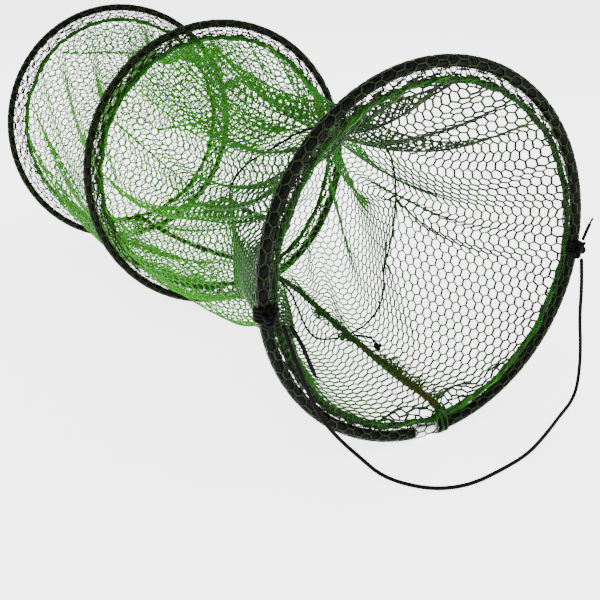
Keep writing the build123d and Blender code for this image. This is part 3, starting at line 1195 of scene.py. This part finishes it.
def make_seam(name, line, body, fold, seed, olive, loops):
    """The side seam: bunched net edges whipped together with twine."""
    line = evenly(line, 170)
    ahead = unit(np.gradient(line, axis=0))
    sideways = unit(np.cross(ahead, [[0.0, 0.0, 1.0]]))
    upward = np.cross(sideways, ahead)
    threads = Threads()
    light = np.interp(np.linspace(0, 1, 170), [0, 0.3, 0.6, 1], olive)
    bundle(threads, line, sideways, upward, False, 6, 1.3, 0.75, 9, seed, light)
    bundle(threads, line, sideways, upward, False, 9, 2.9, 0.6, -7, seed + 20, light)
    whipping(threads, line, sideways, upward, False, 2.6, 0.5, 66, seed + 7)
    for number, (count, share, size, side) in enumerate(loops):
        loose_loops(threads, line, count, share, size, side, seed + 40 + number)
    piece = threads.piece(name, SEAM)
    finish_piece(piece, body, [name], fold)


make_seam(
    "front_side_seam",
    front_seam,
    "mouth_hoop",
    FRONT_FOLD,
    301,
    (0.9, 0.7, 0.15, 0.1),
    [(60, (0.02, 0.3), 15.0, 0.9), (60, (0.4, 0.6), 15.0, -1.2), (30, (0.6, 1.0), 7.0, 0)],
)
make_seam(
    "rear_side_seam",
    rear_seam,
    "mid_hoop",
    REAR_FOLD,
    311,
    (0.1, 0.3, 0.6, 0.8),
    [(40, (0.0, 1.0), 7.0, 0)],
)


def make_lashing(hoop, seed):
    """Turns of seam twine round the hem where the seam meets the hoop, with cut ends."""
    angle = hoop.seam
    random = np.random.default_rng(seed)
    inner = hoop.radius - hoop.lacing
    threads = Threads()
    reach = hoop.tube + 1.3
    for turn in range(7):
        phase = np.linspace(0, TURN, 40, endpoint=False)
        out = np.where(np.cos(phase) < 0, (inner + 1.6) * np.cos(phase), reach * np.cos(phase))
        tall = reach * np.sin(phase) * (1 + 0.1 * random.normal())
        shift = (turn - 3) * 1.15 + random.normal(0, 1.1) + 1.6 * np.sin(phase + 2.4 * turn)
        loop = hoop.place(angle + shift / hoop.radius, hoop.radius + out, tall)
        tone = np.clip(random.normal(0.3, 0.2), 0, 1)
        threads.add(loop, 0.65, 6, True, tone=tone)
    centre = hoop.place(angle, hoop.lacing - 1.5, -2.5)
    for size in (4.8, 4.0, 3.2, 2.6):
        knot = overhand(centre + random.normal(0, 1.2, 3), random.normal(0, 1, 3), size)
        threads.add(evenly(knot, 60), 0.75, 6, tone=np.clip(random.normal(0.35, 0.2), 0, 1))
    for _ in range(5):
        tip = centre + random.normal(0, 1, 3) * [6, 3, 3] + [0, -3, 4]
        middle = (centre + tip) / 2 + random.normal(0, 1.5, 3)
        end = smoothed(evenly(np.array([centre, middle, tip]), 12), 3)
        threads.add(end, 0.4, 5, tone=np.clip(random.normal(0.5, 0.3), 0, 1))
    piece = threads.piece(hoop.name + "_seam_lashing", LACING if hoop is MOUTH else SEAM)
    finish_piece(piece, hoop.body, [hoop.name + "_seam_lashing"])


for number, hoop in enumerate(HOOPS):
    make_lashing(hoop, 400 + number)


def make_draw_tail():
    """The draw cord's short end past the knot, with a stopper knot tied in it."""
    route = from_plane(DRAW_TAIL_ROUTE, THROAT_Y)
    end = np.array(route[-1], float)
    threads = Threads()
    for size, step in ((3.4, 0.0), (2.8, 3.2)):
        centre = end + unit(end - np.array(route[-2], float)) * (step - 2)
        knot = overhand(centre, (0.3, 1.0, 0.4), size)
        cord_mesh(threads, knot, DRAW_DIAMETER, 0.5, 10)
    stopper = threads.piece("draw_tail_stopper", CORD)
    finish_piece(stopper, "mouth_hoop", [], FRONT_FOLD)
    make_cord(
        "draw_cord_tail",
        route,
        DRAW_DIAMETER,
        "draw_cord_tail",
        "mouth_hoop",
        {"far_end": "knot", "stiffness": "limp", "lay": "loose", "with_pieces": [stopper]},
        fold=FRONT_FOLD,
    )


make_draw_tail()


# ------------------------------------------------------------------ tail end net


def hex_edges(radius, turn, shift):
    """The sides of a flat hexagonal net as pairs of points in a plane, a little past radius."""
    rows = int(radius / (OPEN_WIDTH / 2)) + 3
    columns = int(radius / (1.5 * SIDE)) + 3
    pairs = []
    for column in range(-columns, columns):
        for row in range(-rows, rows):
            if (column + row) % 2:
                continue
            x, y = column * 1.5 * SIDE, row * OPEN_WIDTH / 2
            corner = (x + SIDE / 2, y)
            pairs.append((corner, (x + 1.5 * SIDE, y)))
            pairs.append((corner, (x, y + OPEN_WIDTH / 2)))
            pairs.append((corner, (x, y - OPEN_WIDTH / 2)))
    pairs = np.array(pairs)
    cosine, sine = math.cos(turn), math.sin(turn)
    pairs = pairs @ np.array([[cosine, sine], [-sine, cosine]])
    return pairs + np.array(shift)


def clip_to_disc(pairs, radius):
    """Keeps the sides inside a circle and cuts the ones that cross it at the circle."""
    inside = np.linalg.norm(pairs, axis=2) < radius
    pairs = pairs.copy()
    cut = inside[:, 0] != inside[:, 1]
    for number in np.nonzero(cut)[0]:
        near, far = (0, 1) if inside[number, 0] else (1, 0)
        start, end = pairs[number, near], pairs[number, far]
        low, high = 0.0, 1.0
        for _ in range(12):
            middle = (low + high) / 2
            if np.linalg.norm(start + (end - start) * middle) < radius:
                low = middle
            else:
                high = middle
        pairs[number, far] = start + (end - start) * high
    return pairs[inside.any(1)]


# Folds of the closing net, as (right, up) from the hoop's axis. The top and right are doubled.
TAIL_FLAP = [
    (-77, 98), (8, 93), (0, 48), (-17, 9), (47, -12), (72, -15), (137, -4), (137, 140),
    (-77, 140),
]
TAIL_TUCKS = [
    [(34, -41), (99, -102), (72, -110)],
    [(47, -12), (132, -2), (130, -24)],
    [(-118, 20), (-60, -98), (-92, -92)],
]
TAIL_CREASES = [
    ((-77, 98), (30, 92)),
    ((-17, 9), (34, -41)),
    ((34, -41), (95, -99)),
    ((47, -12), (130, -6)),
    ((-112, 5), (-62, -98)),
]


def inside(points, polygon):
    """Which points lie within a polygon."""
    x, y = points[..., 0], points[..., 1]
    found = np.zeros(x.shape, bool)
    for (x0, y0), (x1, y1) in zip(polygon, polygon[1:] + polygon[:1]):
        if y0 == y1:
            continue
        crosses = (y0 > y) != (y1 > y)
        found ^= crosses & (x < x0 + (y - y0) * (x1 - x0) / (y1 - y0))
    return found


def on_tail_disc(flat, depth):
    """Points of the closing net's plane in space, where it sags a little backwards."""
    reach = np.linalg.norm(flat, axis=-1)
    sag = 2.0 * np.clip(1 - (reach / TAIL.lacing) ** 2, 0, 1)
    return np.stack([flat[..., 0], TAIL.y + depth + sag, TAIL.z + flat[..., 1]], -1)


def crease(threads, start, end, seed):
    """The edge of a fold: net threads drawn together into one straight line."""
    random = np.random.default_rng(seed)
    share = np.linspace(0, 1, 40)[:, None]
    straight = np.array(start) * (1 - share) + np.array(end) * share
    across = unit(np.array([start[1] - end[1], end[0] - start[0]], float))
    for _ in range(5):
        stray = 1.1 * wave(share * 3, random.integers(1, 999), 3, 18) + random.normal(0, 0.5)
        line = on_tail_disc(straight + across * stray, 1.6 + random.normal(0, 0.4))
        threads.add(line, 0.5, 5, tone=np.clip(random.normal(0.75, 0.1), 0, 1))


def make_tail_end():
    """The flat net across the tail hoop, bound on to its lacing, with folds that double it."""
    radius = TAIL.lacing
    threads = Threads()
    pairs = clip_to_disc(hex_edges(radius, 0.2, (1.0, 2.0)), radius)
    points = on_tail_disc(pairs, 0.6)
    # painted shade: the flat layer is painted darker than the rest of the net
    threads.add(points, THREAD * 0.85, tone=net_painted_light_and_tone(points, 51) - 0.2)
    for number, fold in enumerate([TAIL_FLAP, *TAIL_TUCKS]):
        for layer in range(1 if number == 0 else 2):
            turn = 0.95 + 0.6 * number + 0.4 * layer
            pairs = clip_to_disc(hex_edges(radius, turn, (2.0, 1.0)), radius)
            pairs = pairs[inside(pairs, fold).all(1)]
            points = on_tail_disc(pairs, 2.0 + 0.8 * layer)
            # painted light: the folded layers are painted lighter
            threads.add(points, THREAD * 0.72, tone=net_painted_light_and_tone(points, 52 + number) + 0.15)
    for number, (start, end) in enumerate(TAIL_CREASES):
        crease(threads, start, end, 500 + number)
    piece = threads.piece("tail_end_net", NET)
    finish_piece(piece, "tail_hoop", ["tail_end_net"])


make_tail_end()


# ------------------------------------------------------------------ the frame's own hard parts


def give_material(node, made):
    """Gives a CAD node that stays in view its finish."""
    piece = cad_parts[node]
    piece.data.materials.clear()
    piece.data.materials.append(made)


for hoop in HOOPS:
    give_material(hoop.name + "_hoop_wire", WIRE)
    give_material(hoop.name + "_hoop_joint", JOINT)


# ------------------------------------------------------------------ floor and light


def make_floor():
    made, nodes, link, shader = material("floor")
    place = coordinates(nodes, link)
    grain = noise(nodes, link, place, 6, 2)
    colour = ramp(nodes, link, grain, [(0.3, (0.86, 0.86, 0.86)), (0.7, (0.89, 0.89, 0.89))])
    link(colour, shader.inputs["Base Color"])
    shader.inputs["Roughness"].default_value = 0.9
    shader.inputs["Emission Color"].default_value = (1, 1, 1, 1)
    shader.inputs["Emission Strength"].default_value = 3.2
    mesh = bpy.data.meshes.new("floor")
    size = 12.0
    corners = [(-size, -size, 0), (size, -size, 0), (size, size, 0), (-size, size, 0)]
    mesh.from_pydata(corners, [], [(0, 1, 2, 3)])
    mesh.materials.append(made)
    floor = bpy.data.objects.new("floor", mesh)
    bpy.context.collection.objects.link(floor)


def make_light(name, place, target, size, power):
    data = bpy.data.lights.new(name, "AREA")
    data.shape = "SQUARE"
    data.size = size
    data.energy = power
    light = bpy.data.objects.new(name, data)
    light.location = place
    towards = Vector(target) - Vector(place)
    light.rotation_euler = towards.to_track_quat("-Z", "Y").to_euler()
    bpy.context.collection.objects.link(light)


make_floor()
make_light("key", (-1.6, -1.8, 2.4), (0, 0, 0.1), 2.6, 90)
make_light("fill", (1.8, -1.2, 1.8), (0, 0, 0.1), 2.6, 45)
make_light("back", (0.4, 2.2, 2.2), (0, 0, 0.1), 2.4, 45)
world = bpy.data.worlds.new("studio")
world.use_nodes = True
world.node_tree.nodes["Background"].inputs["Color"].default_value = (0.98, 0.99, 1, 1)
world.node_tree.nodes["Background"].inputs["Strength"].default_value = 0.9
bpy.context.scene.world = world
